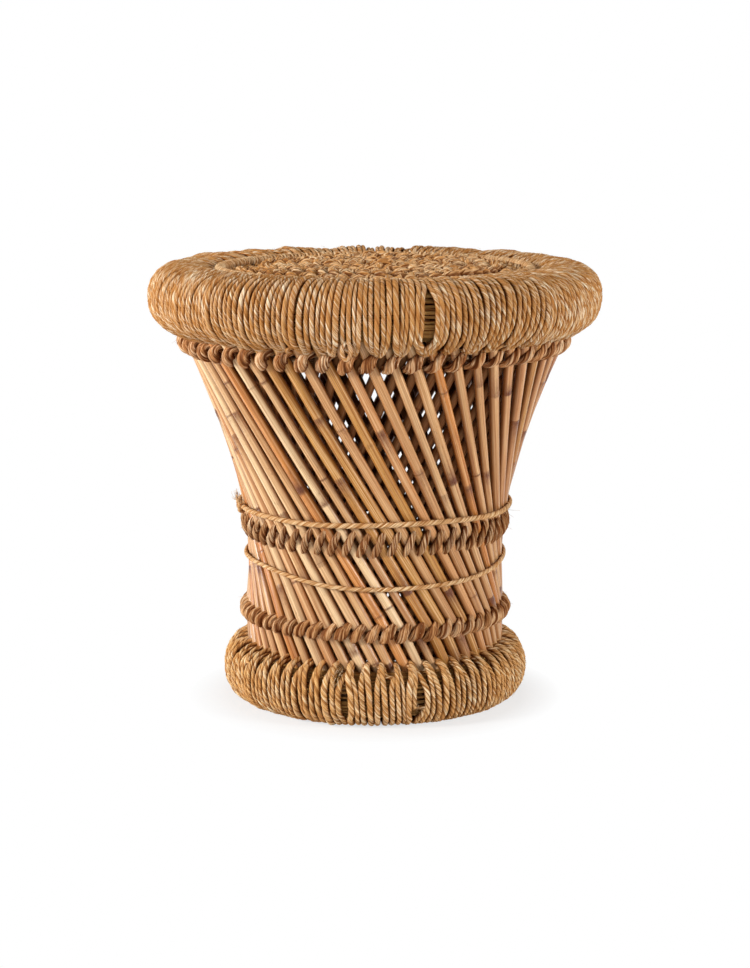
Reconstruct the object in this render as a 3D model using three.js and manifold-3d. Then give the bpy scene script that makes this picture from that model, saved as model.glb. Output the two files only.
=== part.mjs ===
import * as THREE from "three";
import { mergeVertices } from "three/addons/utils/BufferGeometryUtils.js";
import Module from "manifold-3d";

// Mudda stool: two layers of canes that lean opposite ways, bound by twined bands, held at the top and
// the foot between reed bundles that are wound with grass rope, with a coiled seat inside the rim.
// Millimetres, +Z up, origin on the floor under the middle, front towards -Y.

const wasm = await Module();
wasm.setup();

// Driving dimensions
const seatGap = 0.3; // between pieces that touch
const cutOverrun = 5; // how far a cutting solid runs past what it cuts
const ropeDiameter = 6; // grass rope of the windings
const floorCut = 0.5; // flat under the foot, where the rope is worn level

const rimHeight = 440; // top of the rim over the floor
const rimRadius = 225; // outside of the rim
const rimRollWidth = 74;
const rimRollHeight = 67;
const rimTurns = 68;
const rimPartingWidth = 9; // where the rim's turns stand apart and the reeds show
const rimPartingHeight = 56;
const rimPartingDepth = 20;
const rimPartingAzimuth = degrees(14.8);

const baseRadius = 154; // outside of the foot ring
const baseRollWidth = 57;
const baseRollHeight = 63;
const baseTurns = 40;
const baseRopeLengths = 8; // the foot ring's winding is laid on in this many lengths of rope
const basePartingWidth = 10;
const basePartingHeight = 30;
const basePartingDepth = 14;
const basePartingMiddle = 26; // height of the middle of the foot ring's partings
const basePartingAzimuths = [degrees(-10.9), degrees(16.4)];
const ridgeDepth = 2.5; // hollow between the windings' ridges

const canesPerLayer = 56;
const canesPerGroup = 4;
const caneDiameter = 10;
const caneTopDepth = 32; // the canes' ends inside the rim, under its top
const caneFootHeight = 22; // and inside the foot ring
const caneWaistHeight = 190; // where the canes bend, at the waist
const caneTopOutset = 16; // the outer layer's ends lie this far outside the middle of the rim's roll
const caneFootOutset = 1.5; // and of the foot ring's roll
const caneWaistRadius = 127; // circles that the outer layer's canes pass through
const caneLowerRadius = 126;
const waistTurn = degrees(37.6); // turn about the axis from the top end down to the waist
const lowerTurn = degrees(63.6);
const footTurn = degrees(78.6);
const layerSlopeSpread = 1.5; // extra distance between the layers where they slope outward, at the rim
const tieHeight = 5; // twine between neighbouring canes of one group

const waistBandHeight = 181; // middle of the waist's tall twined row
const waistRowHeight = 29;
const waistStrandThickness = 4.5; // the strands, outside and inside the canes
const lowerBandRise = 29; // middle of the lower band over the foot ring
const lowerRowHeight = 18;
const lowerStrandThickness = 4.5;
const upperBandDrop = 16; // middle of the upper band under the rim
const upperRowHeight = 17;
const upperStrandThickness = 7;

const cordDiameter = 5.5; // plain laid cords round the canes
const looseCordHeight = 150;
const looseCordSag = 15; // droop of the loose cord at the front
const looseCordSagPower = 6;
const knotDiameter = 13;
const knotFaceShare = 0.93; // how near its middle the knot's faces lie, of half its diameter
const knotAzimuth = degrees(-75);

const seatHoopDiameter = 10;
const seatHoopDrop = 8; // middle of the hoop under the rim's top
const seatRowWidth = 19; // plaited rows of the seat
const seatRowThickness = 7.5;
const seatRowGap = 0.8;
const seatWarpThickness = 4; // cords under the rows, from the hoop to the middle
const seatWarpWidth = 6;
const seatWarpCount = 12;
const seatHubRadius = 12;

// Facet counts
const rollSides = 8;
const ringSteps = 24;
const strandSides = 4;
const caneSides = 5;
const tieSides = 3;
const hoopSides = 6;
const seatStepsPerLoop = 16;
const weldDistance = 1e-4; // corners nearer than this are one
const quarterTurn = Math.PI / 2;
const fullTurn = Math.PI * 2;

function degrees(angle) {
  return THREE.MathUtils.degToRad(angle);
}

// A point at a radius, an azimuth (0 at the front, growing to the right) and a height.
function place(radius, azimuth, height) {
  return new THREE.Vector3(radius * Math.sin(azimuth), -radius * Math.cos(azimuth), height);
}

// Solids from geometries, and back
function solidOf(geometry) {
  const bare = new THREE.BufferGeometry().setAttribute(
    "position",
    (geometry.index ? geometry.toNonIndexed() : geometry).getAttribute("position"),
  );
  const merged = mergeVertices(bare, weldDistance);
  return new wasm.Manifold(
    new wasm.Mesh({
      numProp: 3,
      vertProperties: merged.attributes.position.array,
      triVerts: new Uint32Array(merged.index.array),
    }),
  );
}

function geometryOf(solid) {
  const mesh = solid.getMesh();
  const geometry = new THREE.BufferGeometry();
  geometry.setAttribute("position", new THREE.BufferAttribute(mesh.vertProperties, 3));
  geometry.setIndex(new THREE.BufferAttribute(mesh.triVerts, 1));
  return geometry;
}

// A closed skin over rows of points that run once round the axis. The end of each row joins the row that
// lies `shift` rows on, so a shift turns the rows into one unbroken helix.
function loopedGeometry(rows, sides, shift, pointAt) {
  const positions = [];
  for (let row = 0; row < rows; row += 1) {
    for (let side = 0; side < sides; side += 1) positions.push(...pointAt(row, side));
  }
  const indexOf = (row, side) =>
    ((row + (side === sides ? shift : 0)) % rows) * sides + (side % sides);
  const triangles = [];
  for (let row = 0; row < rows; row += 1) {
    for (let side = 0; side < sides; side += 1) {
      const corner = indexOf(row, side);
      const beside = indexOf(row, side + 1);
      const ahead = indexOf(row + 1, side);
      const across = indexOf(row + 1, side + 1);
      triangles.push(corner, ahead, across, corner, across, beside);
    }
  }
  const geometry = new THREE.BufferGeometry();
  geometry.setAttribute("position", new THREE.Float32BufferAttribute(positions, 3));
  geometry.setIndex(triangles);
  return geometry;
}

// A ring whose section has its flats, not its corners, at the given size. A ring that hugs a round from
// outside has the flats of its steps at the radius, and one inside a round has their corners there.
// `slopeAt` gives how much the section leans outward with height.
const stepFlat = Math.cos(Math.PI / ringSteps);

function ringGeometry({ radiusAt, heightAt, slopeAt = () => 0, width, tall, sides, hugs }) {
  const flat = Math.cos(Math.PI / sides);
  return loopedGeometry(ringSteps, sides, 0, (step, side) => {
    const azimuth = (step / ringSteps) * fullTurn;
    const turn = ((side + 0.5) / sides) * fullTurn;
    const outward = (Math.cos(turn) * width) / 2 / flat;
    const upward = (Math.sin(turn) * tall) / 2 / flat;
    const radius = radiusAt(azimuth) + outward + upward * slopeAt(azimuth);
    return place(hugs ? radius / stepFlat : radius, azimuth, heightAt(azimuth) + upward);
  });
}

// Wound rolls: the rim and the foot ring
const rimRoll = {
  radius: rimRadius - rimRollWidth / 2,
  height: rimHeight - rimRollHeight / 2,
  width: rimRollWidth,
  tall: rimRollHeight,
  turns: rimTurns,
};
const baseRoll = {
  radius: baseRadius - baseRollWidth / 2,
  height: baseRollHeight / 2 - floorCut,
  width: baseRollWidth,
  tall: baseRollHeight,
  turns: baseTurns,
};

// Heights that follow from the rolls
const caneTopHeight = rimHeight - caneTopDepth;
const upperBandHeight = rimHeight - rimRollHeight - upperBandDrop;
const lowerBandHeight = baseRollHeight + lowerBandRise;
const seatHoopHeight = rimHeight - seatHoopDrop;

// The roll's outside, one ridge for each turn, all of them one helix.
function ridgedRoll(roll) {
  const ringsPerTurn = 2;
  const rings = roll.turns * ringsPerTurn;
  const flat = Math.cos(Math.PI / rollSides);
  return loopedGeometry(rings, rollSides, ringsPerTurn, (ring, side) => {
    const azimuth = ((ring + (side / rollSides) * ringsPerTurn) / rings) * fullTurn;
    const turn = ((side + 0.5) / rollSides) * fullTurn;
    const hollow = (ring % ringsPerTurn) * ridgeDepth;
    return place(
      roll.radius + (Math.cos(turn) * (roll.width / 2 - hollow)) / flat,
      azimuth,
      roll.height + (Math.sin(turn) * (roll.tall / 2 - hollow)) / flat,
    );
  });
}

// The space inside a roll's winding, or the reeds that fill it, taken in by `inset`.
function rollCore(roll, inset) {
  const flat = Math.cos(Math.PI / rollSides);
  return loopedGeometry(ringSteps, rollSides, 0, (step, side) => {
    const turn = ((side + 0.5) / rollSides) * fullTurn;
    return place(
      roll.radius + (Math.cos(turn) * (roll.width / 2 - inset)) / flat,
      (step / ringSteps) * fullTurn,
      roll.height + (Math.sin(turn) * (roll.tall / 2 - inset)) / flat,
    );
  });
}

// Canes
const caneRadius = caneDiameter / 2;
const layerStep = caneDiameter + 2 * seatGap;
const caneStations = [
  {
    height: caneTopHeight,
    radius: rimRoll.radius + caneTopOutset,
    turn: 0,
    spread: layerSlopeSpread,
  },
  { height: caneWaistHeight, radius: caneWaistRadius, turn: waistTurn, spread: 0 },
  { height: lowerBandHeight, radius: caneLowerRadius, turn: lowerTurn, spread: 0 },
  { height: caneFootHeight, radius: baseRoll.radius + caneFootOutset, turn: footTurn, spread: 0 },
];
const outerLayer = { name: "outer", lean: 1, inset: 0 };
const innerLayer = { name: "inner", lean: -1, inset: 1 };

function stationPoint(layer, station, azimuth) {
  const radius = station.radius - layer.inset * (layerStep + station.spread);
  return place(radius, azimuth + layer.lean * station.turn, station.height);
}

// The radius of a layer's middle at a height, on the canes' straight runs.
function layerRadius(layer, height) {
  const last = caneStations.length - 1;
  const below = caneStations.findIndex((station, index) => index > 0 && station.height <= height);
  const lowerIndex = below < 0 ? last : below;
  const lower = stationPoint(layer, caneStations[lowerIndex], 0);
  const upper = stationPoint(layer, caneStations[lowerIndex - 1], 0);
  const point = new THREE.Vector3().lerpVectors(lower, upper, (height - lower.z) / (upper.z - lower.z));
  return Math.hypot(point.x, point.y);
}

class CanePath extends THREE.Curve {
  constructor(points) {
    super();
    this.points = points;
  }
  getPoint(share, target = new THREE.Vector3()) {
    const spans = this.points.length - 1;
    const span = Math.min(Math.floor(share * spans), spans - 1);
    return target.lerpVectors(this.points[span], this.points[span + 1], share * spans - span);
  }
  getPointAt(share, target) {
    return this.getPoint(share, target);
  }
  getTangentAt(share, target) {
    return this.getTangent(share, target);
  }
}

function roundShape(radius, sides) {
  const shape = new THREE.Shape();
  for (let side = 0; side < sides; side += 1) {
    const turn = (side / sides) * fullTurn;
    const step = side === 0 ? "moveTo" : "lineTo";
    shape[step](radius * Math.cos(turn), radius * Math.sin(turn));
  }
  shape.closePath();
  return shape;
}

function caneSolid(layer, azimuth) {
  const points = caneStations.map((station) => stationPoint(layer, station, azimuth));
  return solidOf(
    new THREE.ExtrudeGeometry(roundShape(caneRadius, caneSides), {
      steps: points.length - 1,
      extrudePath: new CanePath(points),
    }),
  );
}

// Twine that fills the space between two neighbouring canes, where the waist's strands cross over.
function tieSolid(layer, azimuth) {
  const station = caneStations[1];
  const points = [0, 1].map((step) =>
    stationPoint(layer, station, azimuth + (step / canesPerLayer) * fullTurn),
  );
  return solidOf(
    new THREE.ExtrudeGeometry(roundShape(tieHeight / 2, tieSides), {
      steps: 1,
      extrudePath: new THREE.LineCurve3(...points),
    }),
  );
}

function caneGroup(layer, group) {
  const azimuthOf = (cane) => ((group * canesPerGroup + cane) / canesPerLayer) * fullTurn;
  let solid = caneSolid(layer, azimuthOf(0));
  for (let cane = 1; cane < canesPerGroup; cane += 1) {
    solid = solid.add(tieSolid(layer, azimuthOf(cane - 1))).add(caneSolid(layer, azimuthOf(cane)));
  }
  return geometryOf(solid);
}

// The space that both layers of canes take inside a roll, as a solid of revolution.
function caneSlot(lowest, highest) {
  const clear = caneRadius + layerSlopeSpread / 2 + seatGap;
  const outer = (height) => (layerRadius(outerLayer, height) + clear) / stepFlat;
  const inner = (height) => layerRadius(innerLayer, height) - clear;
  const profile = [
    [inner(lowest), lowest],
    [outer(lowest), lowest],
    [outer(highest), highest],
    [inner(highest), highest],
  ];
  return loopedGeometry(ringSteps, profile.length, 0, (step, side) =>
    place(profile[side][0], (step / ringSteps) * fullTurn, profile[side][1]),
  );
}

// A thin conical cut that parts a roll's reeds above or below the canes' ends.
function bundleSplit(lowest, highest, layerHeight) {
  const middle = (layerRadius(outerLayer, layerHeight) + layerRadius(innerLayer, layerHeight)) / 2;
  const profile = [
    [middle - seatGap / 2, lowest],
    [middle + seatGap / 2, lowest],
    [middle + seatGap / 2, highest],
    [middle - seatGap / 2, highest],
  ];
  return loopedGeometry(ringSteps, profile.length, 0, (step, side) =>
    place(profile[side][0], (step / ringSteps) * fullTurn, profile[side][1]),
  );
}

function farthestReach(solid) {
  return solid.boundingBox().max[0];
}

const caneEndClear = caneRadius + seatGap;
const rimSlotSpan = [rimRoll.height - rimRollHeight / 2 - cutOverrun, caneTopHeight + caneEndClear];
const baseSlotSpan = [caneFootHeight - caneEndClear, baseRollHeight + cutOverrun];
const rimSlot = solidOf(caneSlot(...rimSlotSpan));
const baseSlot = solidOf(caneSlot(...baseSlotSpan));

// The two reed bundles of a roll, outer first.
function reedBundles(roll, slot, splitSpan, layerHeight) {
  const whole = solidOf(rollCore(roll, ropeDiameter + seatGap));
  const parted = whole.subtract(slot).subtract(solidOf(bundleSplit(...splitSpan, layerHeight)));
  return parted
    .decompose()
    .sort((one, other) => farthestReach(other) - farthestReach(one))
    .map(geometryOf);
}

// A box that stands across a roll's outside at an azimuth, cut out of its winding.
function partingCut(roll, { azimuth, width, tall, depth, height }) {
  const box = new THREE.BoxGeometry(width, depth + cutOverrun, tall);
  box.translate(0, -(roll.radius + roll.width / 2 + cutOverrun / 2 - depth / 2), height);
  box.rotateZ(azimuth);
  return solidOf(box);
}

function windingOf(roll, slot, partings) {
  let solid = solidOf(ridgedRoll(roll)).subtract(solidOf(rollCore(roll, ropeDiameter))).subtract(slot);
  for (const parting of partings) solid = solid.subtract(partingCut(roll, parting));
  const reach = 2 * (roll.radius + roll.width);
  const ground = new THREE.BoxGeometry(reach, reach, roll.tall);
  ground.translate(0, 0, -roll.tall / 2);
  return solid.subtract(solidOf(ground));
}

const rimWinding = () =>
  geometryOf(
    windingOf(rimRoll, rimSlot, [
      {
        azimuth: rimPartingAzimuth,
        width: rimPartingWidth,
        tall: rimPartingHeight,
        depth: rimPartingDepth,
        height: rimRoll.height,
      },
    ]),
  );
const baseWinding = () =>
  windingOf(
    baseRoll,
    baseSlot,
    basePartingAzimuths.map((azimuth) => ({
      azimuth,
      width: basePartingWidth,
      tall: basePartingHeight,
      depth: basePartingDepth,
      height: basePartingMiddle,
    })),
  );

// The azimuth of the middle of a solid's box, from nothing to a full turn.
function azimuthOf(solid) {
  const { min, max } = solid.boundingBox();
  const azimuth = Math.atan2(min[0] + max[0], -(min[1] + max[1]));
  return azimuth < 0 ? azimuth + fullTurn : azimuth;
}

// The foot ring's winding, parted where one length of rope ends and the next begins.
function baseRopes() {
  const reach = 2 * (baseRadius + cutOverrun);
  let parted = baseWinding();
  for (let cut = 0; cut < baseRopeLengths / 2; cut += 1) {
    const blade = new THREE.BoxGeometry(reach, seatGap, reach);
    blade.rotateZ((cut / baseRopeLengths) * fullTurn);
    parted = parted.subtract(solidOf(blade));
  }
  return parted
    .decompose()
    .sort((one, other) => azimuthOf(one) - azimuthOf(other))
    .map(geometryOf);
}

// How a ring of a height and thickness lies on the leaning canes, from outside and from inside
function wallUnder(layer, height, tall) {
  const levels = [height - tall / 2, height, height + tall / 2];
  const radii = levels.map((level) => layerRadius(layer, level));
  const slope = (radii[2] - radii[0]) / tall;
  const radiiAtMiddle = radii.map((radius, index) => radius - slope * (levels[index] - height));
  return { slope, radiiAtMiddle, slant: Math.hypot(1, slope) };
}

function ringOutside(height, tall, thickness) {
  const { slope, radiiAtMiddle, slant } = wallUnder(outerLayer, height, tall);
  const radius = Math.max(...radiiAtMiddle) + (caneRadius + seatGap) * slant + thickness / 2;
  return { radius, slope };
}

function ringInside(height, tall, thickness) {
  const { slope, radiiAtMiddle, slant } = wallUnder(innerLayer, height, tall);
  const radius = Math.min(...radiiAtMiddle) - (caneRadius + seatGap) * slant - thickness / 2;
  return { radius, slope };
}

// Twined rows: one strand outside the canes and one inside them
const twinedRows = [
  { name: "upper_band", height: upperBandHeight, tall: upperRowHeight, thick: upperStrandThickness },
  { name: "waist_band", height: waistBandHeight, tall: waistRowHeight, thick: waistStrandThickness },
  { name: "lower_band", height: lowerBandHeight, tall: lowerRowHeight, thick: lowerStrandThickness },
];

function strandGeometry(row, seatOf, hugs) {
  const seat = seatOf(row.height, row.tall, row.thick);
  return ringGeometry({
    radiusAt: () => seat.radius,
    heightAt: () => row.height,
    slopeAt: () => seat.slope,
    width: row.thick,
    tall: row.tall,
    sides: strandSides,
    hugs,
  });
}

// Plain cords round the canes
function cordGeometry(heightAt) {
  const seatAt = (azimuth) => ringOutside(heightAt(azimuth), cordDiameter, cordDiameter);
  return ringGeometry({
    radiusAt: (azimuth) => seatAt(azimuth).radius,
    heightAt,
    slopeAt: (azimuth) => seatAt(azimuth).slope,
    width: cordDiameter,
    tall: cordDiameter,
    sides: strandSides,
    hugs: true,
  });
}

const waistCordHeight = waistBandHeight + (waistRowHeight + cordDiameter) / 2 + seatGap;

function looseCordHeightAt(azimuth) {
  return looseCordHeight - looseCordSag * ((1 + Math.cos(azimuth)) / 2) ** looseCordSagPower;
}

function knotGeometry() {
  const seat = ringOutside(waistCordHeight, cordDiameter, cordDiameter);
  const cordReach = seat.radius + ((1 + seat.slope) * cordDiameter) / 2;
  const radius = cordReach / stepFlat + seatGap + (knotFaceShare * knotDiameter) / 2;
  const middle = place(radius, knotAzimuth, waistCordHeight);
  return new THREE.IcosahedronGeometry(knotDiameter / 2, 1).translate(middle.x, middle.y, middle.z);
}

// Seat: a hoop on the rim's inner shoulder, cords across under it and the coil on them
const rollFlatShare = Math.tan(Math.PI / rollSides); // half a flat of a roll's section, of its half size
const shoulderFoot = {
  radius: rimRoll.radius - rimRollWidth / 2,
  height: rimRoll.height + (rollFlatShare * rimRollHeight) / 2,
};
const shoulderTop = { radius: rimRoll.radius - (rollFlatShare * rimRollWidth) / 2, height: rimHeight };
const shoulderSlope =
  (shoulderTop.radius - shoulderFoot.radius) / (shoulderTop.height - shoulderFoot.height);

function shoulderRadius(height) {
  return shoulderFoot.radius + (height - shoulderFoot.height) * shoulderSlope;
}

const hoopReach = seatHoopDiameter / 2 / Math.cos(Math.PI / hoopSides) + seatGap;
const seatHoopRadius = shoulderRadius(seatHoopHeight) - hoopReach * Math.hypot(1, shoulderSlope);
const seatRadius = (seatHoopRadius - seatHoopDiameter / 2) * stepFlat - seatGap;
const seatWarpTop = seatHoopHeight - seatHoopDiameter / 2 - seatGap;
const seatWarpMiddle = seatWarpTop - seatWarpThickness / 2;
const seatWarpReach = shoulderRadius(seatWarpTop - seatWarpThickness) - 2 * seatGap;
const seatRowMiddle = seatWarpTop + seatGap + seatRowThickness / 2;

function seatHoop() {
  return ringGeometry({
    radiusAt: () => seatHoopRadius,
    heightAt: () => seatHoopHeight,
    width: seatHoopDiameter,
    tall: seatHoopDiameter,
    sides: hoopSides,
    hugs: false,
  });
}

class SeatSpiral extends THREE.Curve {
  getPoint(share, target = new THREE.Vector3()) {
    const radius = spiralStart - share * (spiralStart - spiralEnd);
    return target.copy(place(radius, share * seatLoops * fullTurn, seatRowMiddle));
  }
  getPointAt(share, target) {
    return this.getPoint(share, target);
  }
  getTangentAt(share, target) {
    return this.getTangent(share, target);
  }
}

const seatPitch = seatRowWidth + seatRowGap;
const spiralStart = seatRadius - seatRowWidth / 2;
const seatLoops = Math.floor((spiralStart - seatRowWidth / 2) / seatPitch);
const spiralEnd = spiralStart - seatLoops * seatPitch;

function seatCoil() {
  const half = seatRowThickness / 2;
  const side = seatRowWidth / 2;
  const shape = new THREE.Shape([
    new THREE.Vector2(0, -side),
    new THREE.Vector2(half, -side / 2),
    new THREE.Vector2(half, side / 2),
    new THREE.Vector2(0, side),
    new THREE.Vector2(-half, side / 2),
    new THREE.Vector2(-half, -side / 2),
  ]);
  return new THREE.ExtrudeGeometry(shape, {
    steps: seatLoops * seatStepsPerLoop,
    extrudePath: new SeatSpiral(),
  });
}

// The least gap between the coil's rows, on points of its middle line half a turn or more apart.
function leastSeatGap() {
  const spiral = new SeatSpiral();
  const samples = seatLoops * seatStepsPerLoop;
  const points = Array.from({ length: samples + 1 }, (_, step) => spiral.getPoint(step / samples));
  let least = Infinity;
  points.forEach((point, index) => {
    for (let other = index + seatStepsPerLoop / 2; other < points.length; other += 1) {
      least = Math.min(least, point.distanceTo(points[other]) - seatRowWidth);
    }
  });
  return least;
}

function seatWarps() {
  const hub = new THREE.CylinderGeometry(seatHubRadius, seatHubRadius, seatWarpThickness, seatWarpCount);
  hub.rotateX(quarterTurn);
  hub.translate(0, 0, seatWarpMiddle);
  let solid = solidOf(hub);
  for (let warp = 0; warp < seatWarpCount / 2; warp += 1) {
    const bar = new THREE.BoxGeometry(2 * seatWarpReach, seatWarpWidth, seatWarpThickness);
    bar.translate(0, 0, seatWarpMiddle);
    bar.rotateZ((warp / seatWarpCount) * fullTurn);
    solid = solid.add(solidOf(bar));
  }
  return geometryOf(solid);
}

// Finishes: colour, roughness, metalness
const caneFinish = () => new THREE.MeshStandardMaterial({ color: 0xd7af82, roughness: 0.6, metalness: 0 });
const ropeFinish = () => new THREE.MeshStandardMaterial({ color: 0xcda573, roughness: 0.85, metalness: 0 });
const twineFinish = () => new THREE.MeshStandardMaterial({ color: 0xa57d55, roughness: 0.9, metalness: 0 });
const reedFinish = () => new THREE.MeshStandardMaterial({ color: 0x8c6a3c, roughness: 0.8, metalness: 0 });

const stool = new THREE.Group();

function addPiece(name, geometry, material) {
  const mesh = new THREE.Mesh(geometry, material);
  mesh.name = name;
  stool.add(mesh);
}

const [rimOuterBundle, rimInnerBundle] = reedBundles(
  rimRoll,
  rimSlot,
  [caneTopHeight, rimHeight + cutOverrun],
  caneTopHeight,
);
const [baseOuterBundle, baseInnerBundle] = reedBundles(
  baseRoll,
  baseSlot,
  [-cutOverrun, caneFootHeight],
  caneFootHeight,
);

addPiece("rim_winding", rimWinding(), ropeFinish());
addPiece("rim_outer_bundle", rimOuterBundle, reedFinish());
addPiece("rim_inner_bundle", rimInnerBundle, reedFinish());
baseRopes().forEach((rope, index) => addPiece(`base_winding_${index + 1}`, rope, ropeFinish()));
addPiece("base_outer_bundle", baseOuterBundle, reedFinish());
addPiece("base_inner_bundle", baseInnerBundle, reedFinish());
for (const layer of [outerLayer, innerLayer]) {
  for (let group = 0; group < canesPerLayer / canesPerGroup; group += 1) {
    const number = String(group + 1).padStart(2, "0");
    addPiece(`${layer.name}_canes_${number}`, caneGroup(layer, group), caneFinish());
  }
}
for (const row of twinedRows) {
  addPiece(`${row.name}_outside`, strandGeometry(row, ringOutside, true), twineFinish());
  addPiece(`${row.name}_inside`, strandGeometry(row, ringInside, false), twineFinish());
}
addPiece("waist_cord", cordGeometry(() => waistCordHeight), ropeFinish());
addPiece("waist_cord_knot", knotGeometry(), ropeFinish());
addPiece("loose_cord", cordGeometry(looseCordHeightAt), ropeFinish());
addPiece("seat_hoop", seatHoop(), ropeFinish());
addPiece("seat_warps", seatWarps(), twineFinish());
addPiece("seat_coil", seatCoil(), ropeFinish());

console.log(`least gap between the seat's rows: ${leastSeatGap().toFixed(2)} mm`);

export default stool;
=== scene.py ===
import math

import bpy
import numpy as np
from bpy.props import FloatProperty, FloatVectorProperty, IntProperty, PointerProperty
from bpy.types import Operator, Panel, PropertyGroup
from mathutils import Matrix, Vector


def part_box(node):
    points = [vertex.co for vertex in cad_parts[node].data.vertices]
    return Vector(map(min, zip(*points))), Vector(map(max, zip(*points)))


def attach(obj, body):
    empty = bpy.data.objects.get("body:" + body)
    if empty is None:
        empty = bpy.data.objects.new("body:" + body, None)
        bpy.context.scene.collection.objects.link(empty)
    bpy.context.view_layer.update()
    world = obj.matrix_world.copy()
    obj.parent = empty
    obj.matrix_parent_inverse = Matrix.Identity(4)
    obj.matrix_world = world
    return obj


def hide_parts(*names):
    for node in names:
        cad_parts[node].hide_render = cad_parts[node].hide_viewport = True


bl_info = {
    "name": "Mudda Stool",
    "version": (1, 0, 0),
    "blender": (4, 5, 0),
    "location": "View3D > Sidebar > Mudda Stool",
    "description": "A waisted cane stool with rope-wound rings, twined bands and a plaited seat",
    "category": "Add Mesh",
}

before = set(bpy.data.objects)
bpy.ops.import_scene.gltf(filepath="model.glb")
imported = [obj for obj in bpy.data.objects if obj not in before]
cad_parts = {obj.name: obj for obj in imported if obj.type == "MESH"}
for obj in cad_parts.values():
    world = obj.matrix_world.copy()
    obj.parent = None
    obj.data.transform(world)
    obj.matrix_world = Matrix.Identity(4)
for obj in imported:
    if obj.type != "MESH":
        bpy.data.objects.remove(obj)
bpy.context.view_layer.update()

MM = 0.001
TURN = 2 * math.pi
DEG = math.pi / 180
UP = np.array([0.0, 0.0, 1.0])
SEED = 41
STRAND_STEPS, WRAP_STEPS, ROW_STEPS = 22, 14, 320  # points past a cane, on a turn and round a row
STRAND_HAIRS, END_HAIRS, RIM_HAIRS, FOOT_HAIRS, BROKEN_HAIRS = 140, 34, 620, 320, 30


class Box:
    """The box of some CAD nodes together: its lowest and highest corners and its middle's height."""

    def __init__(self, *names):
        boxes = [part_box(name) for name in names]
        self.low = Vector([min(box[0][axis] for box in boxes) for axis in range(3)])
        self.high = Vector([max(box[1][axis] for box in boxes) for axis in range(3)])
        self.height = (self.low.z + self.high.z) / 2


def nodes_named(start):
    """The CAD nodes whose names begin with a word."""
    return sorted(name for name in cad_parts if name.startswith(start))


RIM, FOOT = Box("rim_winding"), Box(*nodes_named("base_winding"))
CANES = Box(*nodes_named("outer_canes"))
HOOP, COIL, WARPS = Box("seat_hoop"), Box("seat_coil"), Box("seat_warps")
WAIST_CORD, LOOSE_CORD, KNOT = Box("waist_cord"), Box("loose_cord"), Box("waist_cord_knot")


def linear(red, green, blue):
    """A colour from its usual 0 to 255 numbers to the linear one that shaders use."""
    parts = [value / 255 for value in (red, green, blue)]
    return [p / 12.92 if p <= 0.04045 else ((p + 0.055) / 1.055) ** 2.4 for p in parts]


def length_of(name, text, default):
    return FloatProperty(name=name, description=text, default=default, min=0, unit="LENGTH")


def angle_of(name, text, degrees):
    return FloatProperty(name=name, description=text, default=math.radians(degrees), subtype="ANGLE")


def colour_of(name, text, *rgb):
    return FloatVectorProperty(
        name=name, description=text, default=linear(*rgb), size=3, subtype="COLOR", min=0, max=1
    )


class WallSizes(PropertyGroup):
    canes: IntProperty(name="Canes in a layer", description="Canes in each of the two layers", default=56)
    cane_diameter: length_of("Cane diameter", "Usual thickness of a cane", 9.5 * MM)
    layer_step: length_of("Layer step", "From the outer layer's middle to the inner's", 10.6 * MM)
    top_radius: length_of("Top circle", "Circle of the outer canes' top ends", 204 * MM)
    waist_radius: length_of("Waist circle", "Circle of the outer canes at the waist", 127 * MM)
    lower_radius: length_of("Lower circle", "Circle of the outer canes at the lower band", 126 * MM)
    foot_radius: length_of("Foot circle", "Circle of the outer canes' feet", 127 * MM)
    waist_height: length_of("Waist height", "Height at which the canes bend", 190 * MM)
    lower_height: length_of("Lower height", "Height of the lower band", 92 * MM)
    waist_turn: angle_of("Waist turn", "Turn about the axis from the top to the waist", 37.6)
    lower_turn: angle_of("Lower turn", "Turn from the top to the lower band", 63.6)
    foot_turn: angle_of("Foot turn", "Turn from the top to the foot", 78.6)


class WindingSizes(PropertyGroup):
    rim_turns: IntProperty(name="Rim turns", description="Turns of rope round the rim", default=240)
    rim_rope: length_of("Rim rope", "Thickness of the rim's rope", 6.1 * MM)
    rim_width: length_of("Rim roll width", "Width of the rim's roll", 74 * MM)
    rim_parting: angle_of("Rim parting", "Azimuth where the rim's turns stand apart", 13.2)
    parting_width: length_of("Parting width", "Width of the rim's parting", 11.5 * MM)
    rough_azimuth: angle_of("Rough stretch", "Azimuth where the rim's turns slant and stand up", 142)
    base_turns: IntProperty(name="Foot turns", description="Turns round the foot ring", default=138)
    base_rope: length_of("Foot rope", "Thickness of the foot ring's rope", 6.9 * MM)
    base_width: length_of("Foot roll width", "Width of the foot ring's roll", 57 * MM)
    reed_diameter: length_of("Reed diameter", "Thickness of a reed in the rolls", 3.6 * MM)


class BandSizes(PropertyGroup):
    upper_tall: length_of("Upper band height", "Height of the upper row's stitches", 22 * MM)
    upper_rope: length_of("Upper strand", "Thickness of the upper row's strands", 11.8 * MM)
    waist_tall: length_of("Waist band height", "Height of the waist row's stitches", 30 * MM)
    waist_rope: length_of("Waist strand", "Thickness of the waist row's strands", 7.6 * MM)
    lower_tall: length_of("Lower band height", "Height of the lower row's stitches", 19 * MM)
    lower_rope: length_of("Lower strand", "Thickness of the lower row's strands", 9.8 * MM)
    cord: length_of("Cord", "Thickness of the two plain cords", 5.7 * MM)
    cord_sag: length_of("Cord sag", "Droop of the loose cord at the front", 15 * MM)


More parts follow.
